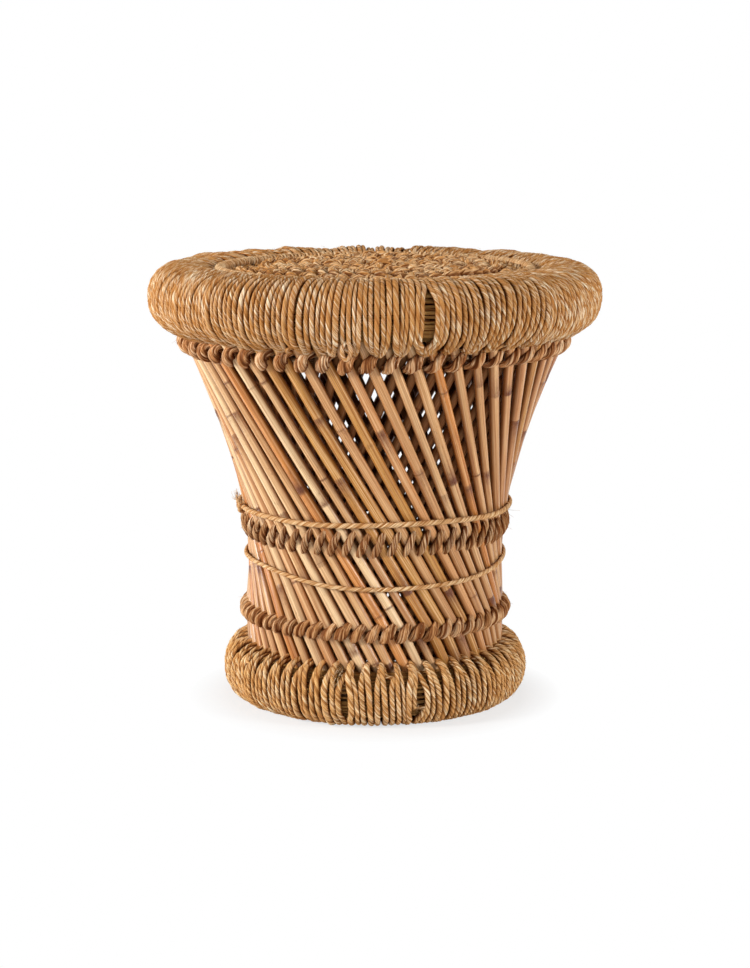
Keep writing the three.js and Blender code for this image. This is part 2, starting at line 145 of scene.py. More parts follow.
class SeatSizes(PropertyGroup):
    row_width: length_of("Row width", "Width of one plaited row", 25 * MM)
    row_rope: length_of("Row strand", "Thickness of the strands that are plaited", 9.2 * MM)
    row_start: angle_of("Row start", "Azimuth of the rows' outer end", -35)
    hoop_core: length_of("Hoop core", "Thickness of the hoop inside its wrapping", 1.6 * MM)
    hoop_rope: length_of("Hoop wrapping", "Thickness of the rope round the hoop", 4.6 * MM)
    warps: IntProperty(name="Warps", description="Cords under the seat", default=12)


class FinishColours(PropertyGroup):
    rope_light: colour_of("Rope, light", "Lit fibres of the grass rope", 254, 239, 208)
    rope_mid: colour_of("Rope, middle", "Usual colour of the grass rope", 200, 149, 90)
    # Weathered fibres, and also the first, browner step of the painted shade in the ropes' and cords'
    # creases.
    rope_dark: colour_of("Rope, dark", "Weathered fibres of the grass rope", 186, 120, 60)
    # The foot ring's rope has the grass rope's colours painted lighter, standing in for the light that
    # reaches the low foot ring less.
    foot_light: colour_of("Foot rope, light", "Lit fibres of the foot ring's rope", 254, 238, 202)
    foot_mid: colour_of("Foot rope, middle", "Usual colour of the foot ring's rope", 236, 186, 120)
    upper_light: colour_of("Upper band, light", "Lit fibres of the upper band", 244, 212, 172)
    upper_mid: colour_of("Upper band, middle", "Usual colour of the upper band", 204, 146, 94)
    waist_light: colour_of("Waist band, light", "Lit fibres of the waist band", 234, 202, 164)
    waist_mid: colour_of("Waist band, middle", "Usual colour of the waist band", 184, 138, 92)
    lower_light: colour_of("Lower band, light", "Lit fibres of the lower band", 242, 206, 164)
    lower_mid: colour_of("Lower band, middle", "Usual colour of the lower band", 200, 146, 94)
    seat_mid: colour_of("Seat, middle", "Usual colour of the seat's rows", 228, 162, 90)
    # The bands' darkest fibres, and also the first, browner step of the painted shade in the bands', seat's
    # and reeds' creases.
    twine_dark: colour_of("Bands, dark", "Darkest fibres of the bands", 124, 66, 28)
    # The colour of the painted shade in the depths between strands and canes, standing in for the shade
    # that falls there.
    painted_shade: colour_of("Creases", "Depths between strands and canes", 78, 32, 4)
    cane_cream: colour_of("Cane, cream", "Palest canes", 224, 192, 148)
    cane_tan: colour_of("Cane, tan", "Usual canes", 198, 148, 96)
    cane_pink: colour_of("Cane, pinkish", "Pinkish canes", 198, 148, 101)
    cane_orange: colour_of("Cane, orange", "Orange canes", 200, 128, 60)
    cane_brown: colour_of("Cane, brown", "Darkest canes", 142, 80, 38)
    cane_olive: colour_of("Cane, olive", "Olive canes", 190, 136, 64)
    cane_flank: colour_of("Cane, flank", "The shaded flanks of a cane", 160, 94, 38)
    cane_node: colour_of("Cane, node", "Rings and stains at the canes' nodes", 104, 56, 30)
    reed: colour_of("Reeds", "Reeds inside the rolls", 178, 134, 74)
    cord_light: colour_of("Cord, light", "Lit fibres of the plain cords", 248, 218, 174)
    cord_mid: colour_of("Cord, middle", "Usual colour of the plain cords", 222, 178, 126)


def sizes(name):
    return getattr(bpy.context.scene, name)


# Paths and other helpers

def polar(radius, azimuth, height):
    """Points at a radius, an azimuth (0 at the front, growing to the right) and a height."""
    radius, azimuth, height = np.broadcast_arrays(radius, azimuth, height)
    return np.stack([radius * np.sin(azimuth), -radius * np.cos(azimuth), height], axis=-1)


def ring(count):
    """Angles evenly spaced once round."""
    return np.linspace(0, TURN, count + 1)[:-1]


def unit(vectors):
    return vectors / np.maximum(np.linalg.norm(vectors, axis=-1, keepdims=True), 1e-12)


def smooth_step(low, high, values):
    share = np.clip((values - low) / (high - low), 0, 1)
    return share * share * (3 - 2 * share)


def bell(values, middle, width):
    """1 where values are at the middle, falling smoothly to 0 on both sides."""
    return np.exp(-(((values - middle) / width) ** 2))


def length_along(path):
    """The length of a path up to each of its points."""
    return np.concatenate([[0], np.cumsum(np.linalg.norm(np.diff(path, axis=0), axis=1))])


def wobble(rng, values, waves, amount):
    """A smooth seeded wobble along some angles: waves are its lowest and highest counts on a full turn."""
    counts = np.arange(waves[0], waves[1] + 1)
    heights = rng.normal(size=len(counts)) / np.sqrt(len(counts))
    phases = rng.uniform(0, TURN, len(counts))
    return amount * (heights * np.sin(np.multiply.outer(values, counts) + phases)).sum(-1)


def around_from(azimuth, start):
    """How far azimuths lie from a start, from half a turn back to half a turn on."""
    return np.mod(azimuth - start + math.pi, TURN) - math.pi


def wall_path(outward, heights):
    """Azimuth and radius of a layer's first cane at one height or more. outward is 1 outside, -1 inside."""
    wall = sizes("mudda_wall")
    stations = np.array([
        [CANES.high.z - wall.cane_diameter / 2, wall.top_radius, 0],
        [wall.waist_height, wall.waist_radius, wall.waist_turn],
        [wall.lower_height, wall.lower_radius, wall.lower_turn],
        [CANES.low.z + wall.cane_diameter / 2, wall.foot_radius, wall.foot_turn],
    ])[::-1]
    inset = 0 if outward > 0 else wall.layer_step
    corners = polar(stations[:, 1] - inset, outward * stations[:, 2], stations[:, 0])
    fine = np.arange(CANES.low.z, CANES.high.z, MM)
    points = np.stack([np.interp(fine, corners[:, 2], corners[:, axis]) for axis in range(2)], axis=-1)
    reach = 30
    kernel = bell(np.arange(-reach, reach + 1), 0, 11)
    kernel /= kernel.sum()
    padded = np.pad(points, ((reach, reach), (0, 0)), mode="reflect", reflect_type="odd")
    points = np.stack([np.convolve(padded[:, axis], kernel, "valid") for axis in range(2)], axis=-1)
    x = np.interp(heights, fine, points[:, 0])
    y = np.interp(heights, fine, points[:, 1])
    return np.arctan2(x, -y), np.hypot(x, y)


def add_object(name, data):
    """An object of some data, in the scene."""
    made = bpy.data.objects.new(name, data)
    bpy.context.scene.collection.objects.link(made)
    return made


# Tubes and ropes gathered into one mesh

LAID_CORNERS = np.radians([0, 20, 52, 90, 128, 160])


class Outline:
    """A tube's section: the angles of its corners, how far out each lies and how much painted shade it
    takes in a crease.

    shaded says where painted shade darkens a tube towards its underside, standing in for the shade there. A
    corner's depth runs from -1 on top to 1 underneath. The painted shade starts at shaded's first depth and
    is full at its second.
    """

    def __init__(self, angles, reach, painted_shade, shaded=(-0.7, 0.15)):
        self.angles, self.reach, self.painted_shade = (np.asarray(part, float) for part in (angles, reach, painted_shade))
        self.shaded = shaded

    @classmethod
    def round(cls, sides, shaded=(-0.3, 0.5)):
        return cls(np.arange(sides) / sides * TURN, np.ones(sides), np.zeros(sides), shaded)

    @classmethod
    def laid(cls, rng, groove=0.84, ridges=0.07, corners=None, shaded=(-0.7, 0.15)):
        """Two plies pressed into one round rope, with a groove on each side and ridges of fibre.

        corners is the number of evenly spaced corners on each ply, or None for the usual ones.
        """
        half = np.linspace(0, math.pi, corners + 1)[:-1] if corners else LAID_CORNERS
        near = bell(np.minimum(half, math.pi - half), 0, 19 * DEG)
        reach = np.tile(1 - (1 - groove) * near, 2)
        dent = rng.random(len(reach)) * (np.arange(len(reach)) % 2)
        # Painted shade: the grooves between the plies and the dents among the ridges are darkened, standing
        # in for the shade in them.
        painted_shade = np.maximum(np.tile(min(0.8, 3 * (1 - groove)) * near, 2), 0.6 * dent)
        return cls(np.concatenate([half, half + math.pi]), reach * (1 - ridges * dent), painted_shade, shaded)

    @classmethod
    def fibrous(cls, rng, sides, depth=0.16):
        """A bundle of fibres, ridged all round."""
        reach = 1 - depth * rng.random(sides)
        reach[::2] = 1
        # Painted shade: the dents between the ridges are darkened, standing in for the shade in them.
        return cls(np.arange(sides) / sides * TURN, reach, 0.5 * (1 - reach) / depth, (-0.5, 0.4))


def twist_along(path, lay, phase, closed):
    """The turn of a rope's lay at each point of its path, a whole number of turns on a closed one."""
    hops = np.linalg.norm(np.diff(path, axis=0, append=path[:1] if closed else path[-1:]), axis=1)
    turns = hops / lay
    if closed:
        turns = turns * round(turns.sum()) / turns.sum()
    return phase + TURN * np.concatenate([[0], np.cumsum(turns)[:-1]])


def sides_of(path, normals, closed):
    """The directions to a path's side and up from it."""
    tangents = unit(np.roll(path, -1, 0) - np.roll(path, 1, 0) if closed else np.gradient(path, axis=0))
    side = unit(np.cross(tangents, normals))
    return side, np.cross(side, tangents)


class Tubes:
    """Tubes of many sides that become one mesh, with each point's tint, painted shade and mark, and its
    place in the grain.
    """

    def __init__(self):
        self.points, self.tones, self.grains, self.faces, self.caps = [], [], [], [], []
        self.size = 0
        self.laid = 0

    def add(
        self, path, normals, across, tall, outline, tint=0.5, mark=0.0, painted_shade=None, twist=0.0, closed=False
    ):
        """A tube along a path, across wide at its sides and tall along its normals, both half sizes.

        normals are one for each point of the path, or one for them all.
        """
        count, sides = len(path), len(outline.angles)
        side, up = sides_of(path, normals, closed)
        columns = (np.broadcast_to(part, count)[:, None] for part in (across, tall, tint, mark, twist))
        across, tall, tint, mark, twist = columns
        angles = outline.angles + twist
        cosines, sines = np.cos(angles) * outline.reach, np.sin(angles) * outline.reach
        points = path[:, None] + side[:, None] * (cosines * across)[..., None]
        points += up[:, None] * (sines * tall)[..., None]
        along = length_along(path)
        grain = np.stack(np.broadcast_arrays(
            along[:, None] + self.laid,
            np.cos(outline.angles) * outline.reach * across,
            np.sin(outline.angles) * outline.reach * tall,
        ), axis=-1)
        # Painted shade: unless given, each corner's painted shade is the outline's, deepened towards the
        # tube's underside, standing in for the shade under and between the tubes.
        if painted_shade is None:
            painted_shade = np.maximum(outline.painted_shade, 0.95 * smooth_step(*outline.shaded, -sines))
        tone = np.stack(np.broadcast_arrays(tint, painted_shade, mark, np.ones((count, sides))), axis=-1)
        rows = np.arange(count if closed else count - 1)[:, None]
        ahead = (rows + 1) % count
        here, beside = np.arange(sides), (np.arange(sides) + 1) % sides
        corners = rows * sides + here, ahead * sides + here, ahead * sides + beside, rows * sides + beside
        self.faces.append(np.stack(corners, axis=-1).reshape(-1, 4) + self.size)
        if not closed:
            last = (count - 1) * sides
            self.caps.append((sides, np.stack([here, last + here[::-1]]) + self.size))
        self.points.append(points.reshape(-1, 3))
        self.grains.append(grain.reshape(-1, 3))
        self.tones.append(tone.reshape(-1, 4))
        self.size += count * sides
        self.laid += along[-1] + 1.7

    def add_rope(self, path, normals, diameter, lay, outline, tint, phase=0.0, closed=False):
        """A firm rope whose two plies are pressed together. lay is the length of one full turn of a ply."""
        twist = twist_along(path, lay, phase, closed)
        half = np.broadcast_to(diameter, len(path)) / 2
        self.add(path, normals, half, half, outline, tint, twist=twist, closed=closed)

    def add_plies(self, path, normals, diameter, lay, outline, tint):
        """A slack closed rope: two plies laid round each other along a path."""
        twist = twist_along(path, lay, 0.0, closed=True)
        side, up = sides_of(path, normals, closed=True)
        radius = diameter / 2
        for ply in range(2):
            angle = twist + ply * math.pi
            out = side * np.cos(angle)[:, None] + up * np.sin(angle)[:, None]
            centre = path + out * (radius * 0.46)
            self.add(centre, out, radius * 0.6, radius * 0.54, outline, tint, closed=True)

    def add_hair(self, start, direction, curl, size):
        """One loose fibre that leaves start along a direction and curls over."""
        share = np.linspace(0, 1, 5)[:, None]
        path = start + direction * share + curl * share**2
        thin = size * (1 - 0.6 * share[:, 0])
        normal = unit(np.cross(direction, curl) + 1e-9)
        self.add(path, normal, thin, thin, Outline.round(3), tint=0.95, painted_shade=0.0)

    def press_down(self, floor):
        """Lifts all points that lie under the floor onto it."""
        for block in self.points:
            np.maximum(block[:, 2], floor, out=block[:, 2])

    def object(self, name, material):
        """The tubes as one smooth object that rides on the root body."""
        points = np.concatenate(self.points)
        loops = [np.concatenate(self.faces).ravel()]
        totals = [np.full(len(loops[0]) // 4, 4)]
        for sides, caps in self.caps:
            loops.append(caps.ravel())
            totals.append(np.full(len(caps), sides))
        loops, totals = np.concatenate(loops), np.concatenate(totals)
        mesh = bpy.data.meshes.new(name)
        mesh.vertices.add(len(points))
        mesh.vertices.foreach_set("co", points.astype(np.float32).ravel())
        mesh.loops.add(len(loops))
        mesh.loops.foreach_set("vertex_index", loops.astype(np.int32))
        mesh.polygons.add(len(totals))
        starts = np.concatenate([[0], np.cumsum(totals)[:-1]])
        mesh.polygons.foreach_set("loop_start", starts.astype(np.int32))
        mesh.polygons.foreach_set("use_smooth", np.ones(len(totals), bool))
        for attribute, kind, field, blocks in (
            ("tone", "FLOAT_COLOR", "color", self.tones), ("grain", "FLOAT_VECTOR", "vector", self.grains)
        ):
            values = np.concatenate(blocks).astype(np.float32).ravel()
            mesh.attributes.new(attribute, kind, "POINT").data.foreach_set(field, values)
        mesh.update(calc_edges=True)
        mesh.materials.append(material)
        piece = add_object(name, mesh)
        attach(piece, "root")
        return piece


# Shader values as Python expressions

class Value:
    """A shader value. Its operators add Math nodes to the tree that it belongs to."""

    def __init__(self, shader, socket):
        self.shader, self.socket = shader, socket

    def math(self, operation, *others, swapped=False):
        values = [self, *others][::-1] if swapped else [self, *others]
        return self.shader.node("ShaderNodeMath", {"operation": operation}, dict(enumerate(values)))

    def __add__(self, other):
        return self.math("ADD", other)

    def __sub__(self, other):
        return self.math("SUBTRACT", other)

    def __mul__(self, other):
        return self.math("MULTIPLY", other)

    def __radd__(self, other):
        return self.math("ADD", other, swapped=True)

    def __rsub__(self, other):
        return self.math("SUBTRACT", other, swapped=True)

    def __rmul__(self, other):
        return self.math("MULTIPLY", other, swapped=True)


class Shader:
    """The nodes of a material or a world."""

    def __init__(self, owner):
        owner.use_nodes = True
        self.owner, self.tree = owner, owner.node_tree
        self.tree.nodes.clear()

    def node(self, kind, settings=None, inputs=None, output=0):
        """Adds a node: its settings first, then the values or links of its sockets."""
        node = self.tree.nodes.new(kind)
        for key, value in (settings or {}).items():
            if key == "stops":
                self.set_stops(node.color_ramp, value)
            else:
                setattr(node, key, value)
        for key, value in (inputs or {}).items():
            if isinstance(value, Value):
                self.tree.links.new(value.socket, node.inputs[key])
            else:
                node.inputs[key].default_value = value
        return Value(self, node.outputs[output])

    @staticmethod
    def set_stops(ramp, stops):
        while len(ramp.elements) < len(stops):
            ramp.elements.new(1.0)
        for element, (position, colour) in zip(ramp.elements, stops):
            element.position = position
            element.color = (*colour, 1.0)

    def tone(self):
        """Tint, painted shade and mark of the strand under the shaded point."""
        colour = self.node("ShaderNodeAttribute", {"attribute_name": "tone"})
        parts = self.tree.nodes.new("ShaderNodeSeparateColor")
        self.tree.links.new(colour.socket, parts.inputs[0])
        return [Value(self, socket) for socket in parts.outputs]

    def noise(self, vector, scale, detail, roughness=0.55):
        inputs = {"Vector": vector, "Scale": scale, "Detail": detail, "Roughness": roughness}
        return self.node("ShaderNodeTexNoise", {}, inputs)

    def streaks(self, along, across, detail, roughness=0.55):
        """Noise that follows the strand, from its scales along the strand and across it."""
        place = self.node("ShaderNodeAttribute", {"attribute_name": "grain"}, output=1)
        scale = (along, across, across)
        vector = self.node("ShaderNodeVectorMath", {"operation": "MULTIPLY"}, {0: place, 1: scale})
        return self.noise(vector, 1.0, detail, roughness)

    def place(self):
        return self.node("ShaderNodeTexCoord", {}, {}, output=3)

    def mix(self, share, first, second):
        settings = {"data_type": "RGBA", "blend_type": "MIX"}
        return self.node("ShaderNodeMix", settings, {0: share, 6: first, 7: second}, output=2)

    def ramp(self, value, stops):
        return self.node("ShaderNodeValToRGB", {"stops": stops}, {"Fac": value})

    def spread(self, value, low, high):
        """A value taken from low..high to 0..1, kept inside."""
        inputs = {"Value": value, "From Min": low, "From Max": high}
        return self.node("ShaderNodeMapRange", {"clamp": True}, inputs)

    def layered(self, colour, *layers):
        """A colour under others: each has a value, where that starts and is full, a share and a colour."""
        for value, start, full, share, over in layers:
            colour = self.mix(self.spread(value, start, full) * share, colour, over)
        return colour

    def bump(self, height, strength, distance):
        inputs = {"Height": height, "Strength": strength, "Distance": distance}
        return self.node("ShaderNodeBump", {}, inputs)

    def seen(self):
        """1 for rays from the camera, a reflection or glass, and 0 for those that only light the scene."""
        rays = self.tree.nodes.new("ShaderNodeLightPath")
        names = ("Is Camera Ray", "Is Glossy Ray", "Is Transmission Ray")
        camera, glossy, through = (Value(self, rays.outputs[name]) for name in names)
        return camera + glossy + through

    def finish(self, surface, end="Material"):
        """Ends the material or the world with a surface."""
        output = self.tree.nodes.new(f"ShaderNodeOutput{end}")
        self.tree.links.new(surface.socket, output.inputs["Surface"])
        return self.owner

    def surface(self, **inputs):
        """The shader that ends a piece's material."""
        named = {key.replace("_", " "): value for key, value in inputs.items()}
        return self.finish(self.node("ShaderNodeBsdfPrincipled", {}, named))


def rgba(colour, light=1.0):
    return (*(part * light for part in colour), 1.0)


def fibre_finish(name, light, mid, dark, bump, tint_share):
    """Grass fibre: fine streaks along the plies, with painted shade that turns it browner and then dark in
    their creases and underneath.
    """
    shader = Shader(bpy.data.materials.new(name))
    tint, painted_shade, mark = shader.tone()
    broad = shader.spread(shader.streaks(24, 430, 2.0, 0.6), 0.38, 0.62)
    streak = shader.spread(shader.streaks(36, 1050, 3.0, 0.6), 0.36, 0.64)
    patch = shader.spread(shader.noise(shader.place(), 26.0, 3.0), 0.3, 0.7)
    level = broad * 0.36 + streak * 0.34 + (tint - 0.5) * tint_share + patch * 0.16 + 0.05
    lines = shader.spread(shader.streaks(30, 760, 2.0, 0.5), 0.46, 0.36)
    # Painted shade, broken up by the streaks: the colour turns to the dark colour and then to the painted
    # shade colour in creases and underneath.
    depth = painted_shade - (broad + streak - 1) * 0.22
    colour = shader.ramp(level, [(0.0, dark), (0.45, mid), (0.85, light)])
    colour = shader.layered(
        shader.mix(lines * 0.7, colour, rgba(dark, 0.8)),
        (depth, 0.02, 0.5, 0.8, rgba(dark)),
        (depth, 0.3, 0.95, 0.93, rgba(sizes("mudda_colours").painted_shade)),
    )
    return shader.surface(
        Base_Color=shader.mix(mark, colour, rgba(dark, 0.6)),
        Roughness=0.8,
        Normal=shader.bump(broad * 0.8 + streak * 0.6 - lines * 0.8, bump, 1.2 * MM),
        Specular_IOR_Level=0.06,
    )


def cane_finish(name, colours, shade):
    """Cane skin: its own colour on each cane, long streaks whose pale ones are also painted glints, brown
    rings at the nodes, painted shade on its flanks and a soft shine.

    shade is how much painted shade turns it all brown, for the canes inside, standing in for the shadow
    inside the wall.
    """
    shader = Shader(bpy.data.materials.new(name))
    tint, painted_shade, mark = shader.tone()
    streak = shader.streaks(6, 520, 5.0, 0.65)
    fine = shader.streaks(20, 1500, 3.0)
    stain = shader.streaks(22, 90, 4.0, 0.6)
    fleck = shader.streaks(260, 700, 2.0)
    stops = [
        (0.0, colours.cane_cream), (0.22, colours.cane_tan), (0.42, colours.cane_pink),
        (0.6, colours.cane_orange), (0.8, colours.cane_brown), (1.0, colours.cane_olive),
    ]
    # The pale colour of the skin's streaks; these streaks also serve as painted glints.
    light = rgba([min(1.0, part * 1.25) for part in colours.cane_cream])
    dark, node = rgba(colours.cane_brown), rgba(colours.cane_node)
    colour = shader.layered(
        shader.ramp(tint + (stain - 0.5) * 0.24, stops),
        (streak, 0.46, 0.66, 0.72, dark),
        (streak, 0.48, 0.34, 0.42, light),
        (fine, 0.55, 0.75, 0.4, light),
        (stain, 0.62, 0.8, 0.45, dark),
        (fleck + stain * 0.4, 0.86, 1.0, 0.5, node),
    )
    worn = shader.spread(mark + (fleck + streak - 1) * 0.5, 0.1, 0.9)
    # Painted shade: a cane's flanks turn brown and then dark, standing in for the shade on its sides and
    # between the canes.
    colour = shader.layered(
        shader.mix(worn * shader.spread(mark, 0, 0.1), colour, node),
        (painted_shade, 0.0, 0.5, 0.6, rgba(colours.cane_flank)),
        (painted_shade, 0.35, 0.95, 0.65, rgba(colours.painted_shade)),
    )
    # Painted shade for the inner layer: the whole skin turns brown, standing in for the shadow inside the
    # wall.
    if shade:
        colour = shader.mix(shade, colour, rgba(colours.cane_brown, 0.8))
    return shader.surface(
        Base_Color=colour,
        Roughness=shader.spread(fine, 0.2, 0.8) * 0.14 + (0.5 if shade else 0.2),
        Normal=shader.bump(streak * 0.7 + fine * 0.5, 0.5, 0.6 * MM),
        Specular_IOR_Level=0.1 if shade else 0.35,
    )


# Each fibre finish: its material, its light, middle and dark colours, its bump and how far tints go.
# The dark colour is also the first step of the painted shade.
FIBRES = {
    "rope": ("grass_rope", "rope_light", "rope_mid", "rope_dark", 0.6, 0.12),
    # The foot ring's finish is the grass rope painted lighter, standing in for light that falls less on it.
    "foot_rope": ("foot_grass_rope", "foot_light", "foot_mid", "rope_dark", 0.6, 0.12),
    "upper_twine": ("upper_band_twine", "upper_light", "upper_mid", "twine_dark", 0.6, 0.22),
    "waist_twine": ("waist_band_twine", "waist_light", "waist_mid", "twine_dark", 0.6, 0.22),
    "lower_twine": ("lower_band_twine", "lower_light", "lower_mid", "twine_dark", 0.6, 0.22),
    "seat": ("seat_rope", "cord_light", "seat_mid", "twine_dark", 0.6, 0.22),
    "cord": ("plain_cord", "cord_light", "cord_mid", "rope_dark", 0.6, 0.22),
    "reed": ("bundle_reed", "rope_mid", "reed", "twine_dark", 0.3, 0.22),
}
# Each cane finish: its material and how much painted shade browns it all; the inner layer's canes take it
# for the shadow inside the wall.
CANE_FINISHES = {"cane": ("cane_skin", 0.0), "inner_cane": ("inner_cane_skin", 0.68)}
MADE = {}


def finish_of(kind):
    """The material of a kind, made when it is first asked for."""
    colours = sizes("mudda_colours")
    if kind not in MADE and kind in CANE_FINISHES:
        name, shade = CANE_FINISHES[kind]
        MADE[kind] = cane_finish(name, colours, shade)
    elif kind not in MADE:
        name, *shades, bump, tint_share = FIBRES[kind]
        MADE[kind] = fibre_finish(name, *(getattr(colours, shade) for shade in shades), bump, tint_share)
    return MADE[kind]


def dressed(tubes, name, kind, slot, *nodes):
    """The tubes as a finished piece that stands for some CAD nodes."""
    piece = tubes.object(name, finish_of(kind))
    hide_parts(*nodes)
    return piece


# Windings

# Each place where the foot ring's turns stand apart: its azimuth and half its width
FOOT_GAPS = ((-10.9 * DEG, 4.2 * MM), (16.4 * DEG, 4.8 * MM))
LOOP_AZIMUTH, LOOP_HALF_WIDTH, LOOP_HALF_HEIGHT = -7.0 * DEG, 4.2 * MM, 8 * MM


class Roll:
    """A wound roll: the circle of its middle, and its section."""

    def __init__(self, box, width):
        self.radius, self.height = box.high.x - width / 2, box.height
        self.half_width, self.half_height = width / 2, (box.high.z - box.low.z) / 2

    def section(self, angle, inset, power=0.86):
        """Steps out and up from the middle, at an angle from the outside, on a slightly square ellipse."""
        cosine, sine = np.cos(angle), np.sin(angle)
        return (
            (self.half_width - inset) * np.sign(cosine) * np.abs(cosine) ** power,
            (self.half_height - inset) * np.sign(sine) * np.abs(sine) ** power,
        )


def rim_roll():
    return Roll(RIM, sizes("mudda_winding").rim_width)


def foot_roll():
    return Roll(FOOT, sizes("mudda_winding").base_width)


def section_angles(first, last, shown, hidden):
    """Section angles once round, from degrees: close together from first to last, which show."""
    near = np.radians(np.linspace(first, last, shown))
    return np.concatenate([near, np.radians(np.linspace(last, first + 360, hidden))[1:-1]])


def gap_offset(azimuth, cane_azimuth, pitch):
    """How far an azimuth lies past the middle of its gap between two canes, as a share of their pitch."""
    return np.mod((azimuth - cane_azimuth) / pitch, 1) - 0.5


def winding_points(rng, turns, angles):
    """Turn counts, section angles, azimuths and widths along a winding of uneven turns, once round."""
    widths = np.clip(rng.normal(1, 0.14, turns), 0.62, 1.36)
    starts = np.concatenate([[0], np.cumsum(widths)]) / widths.sum() * TURN
    number, angle = np.meshgrid(np.arange(turns), angles, indexing="ij")
    progress = (number + (angle - angles[0]) / TURN).ravel()
    azimuth = np.interp(progress, np.arange(turns + 1), starts)
    width = np.interp(progress - 0.5, np.arange(turns), widths / widths.mean())
    width = 0.5 * width + 0.5 * np.repeat(widths / widths.mean(), len(angles))
    return progress, angle.ravel(), azimuth, width


def cut_runs(count, pieces):
    """Slices that share a count among pieces, each with one point of the next."""
    edges = np.linspace(0, count, pieces + 1).astype(int)
    return [slice(start, min(end + 1, count)) for start, end in zip(edges[:-1], edges[1:])]


def rope_length(rng, run, groove, *parts):
    """Tubes with one run of a winding's rope, out of its whole path, normals, sizes, lays and tints."""
    path, normals, size, lay, tint = (part[run] for part in parts)
    tubes = Tubes()
    outline = Outline.laid(rng, groove)
    tubes.add_rope(path, normals, size, lay, outline, tint, phase=rng.uniform(0, TURN))
    return tubes


class MUDDA_OT_rim_winding(Operator):
    """Winds the rim: some 240 turns of two-ply grass rope, parted once at the front"""

    bl_idname = "mudda.rim_winding"
    bl_label = "Rim winding"

    def execute(self, context):
        winding, roll, pitch = sizes("mudda_winding"), rim_roll(), TURN / sizes("mudda_wall").canes
        rng = np.random.default_rng(SEED + 1)
        turns, rope = winding.rim_turns, winding.rim_rope
        angles = section_angles(-105, 152, 80, 16)
        progress, angle, azimuth, width = winding_points(rng, turns, angles)
        out, lift = roll.section(angle, rope / 2)
        azimuth += wobble(rng, azimuth, (4, 16), 0.006) * np.sin(angle * 1.2)
        azimuth += wobble(rng, azimuth, (60, 110), 0.0026) * np.sin(angle * 2.1)
        rough = bell(np.mod(azimuth, TURN), winding.rough_azimuth, 13 * DEG)
        azimuth += rough * 0.11 * smooth_step(60 * DEG, 150 * DEG, angle)
        under = bell(angle, -86 * DEG, 24 * DEG)
        azimuth -= gap_offset(azimuth, wall_path(1, RIM.low.z)[0], pitch) * pitch * 0.62 * under
        away = around_from(azimuth, winding.rim_parting)
        opened = smooth_step(-1.1, -0.7, angle) * (1 - smooth_step(0.3, 1.15, angle))
        half_gap = winding.parting_width / 2 / RIM.high.x
        azimuth += np.sign(away) * half_gap * opened * np.exp(-np.abs(away) / 0.055)
        back = bell(np.mod(azimuth, TURN), math.pi, 1.2)
        pair = np.repeat(np.arange(turns) % 2 - 0.5, len(angles))
        azimuth -= pair * back * 0.2 * TURN / turns
        inner = smooth_step(70 * DEG, 140 * DEG, angle)
        per_turn = np.repeat(rng.uniform(-1, 1, (2, turns)), len(angles), axis=1)
        of_pair = np.repeat(rng.uniform(-1, 1, turns // 2), 2 * len(angles))
        sink = (per_turn[0] * (0.3 + 1.2 * inner + 2.2 * rough) + (width - 1) * 1.6) * MM
        sink += of_pair * back * 1.5 * MM
        droop = (2.4 + 1.6 * per_turn[1] + 2.6 * bell(away, 0, 0.7)) * MM * under
        radius = roll.radius + out * (1 + sink / (roll.half_width - rope / 2))
        height = roll.height + lift * (1 + np.minimum(sink, 1.4 * MM) / (roll.half_height - rope / 2))
        normals = polar(np.cos(angle), azimuth, np.sin(angle))
        path = polar(radius, azimuth, height - droop)
        tint = np.repeat(rng.beta(1.6, 1.6, turns), len(angles))
        size = rope * width * (0.89 - 0.04 * inner) * (1 + wobble(rng, progress * 0.3, (3, 60), 0.07))
        size *= 1 - 0.16 * back * bell(angle, 95 * DEG, 35 * DEG)
        lay = rope * np.repeat(rng.uniform(2.8, 6.0, turns), len(angles))
        for number, run in enumerate(cut_runs(len(path), 4), 1):
            tubes = rope_length(rng, run, 0.84, path, normals, size, lay, tint)
            if number == 1:
                self.hang_loop(tubes, rng, rope)
            dressed(tubes, f"rim_rope_{number}", "rope", "grass_rope", "rim_winding")
        return {"FINISHED"}

    def hang_loop(self, tubes, rng, rope):
        """A loop of the rope that has slipped down under the rim at the front."""
        turn = ring(40)
        azimuth = LOOP_AZIMUTH + LOOP_HALF_WIDTH / RIM.high.x * np.sin(turn)
        height = RIM.low.z + 3 * MM + LOOP_HALF_HEIGHT * np.cos(turn)
        path = polar(RIM.high.x - 12 * MM, azimuth, height)
        normals = polar(1.0, azimuth, 0.0)
        tubes.add_rope(path, normals, 0.75 * rope, 4 * rope, Outline.laid(rng), 0.6, closed=True)


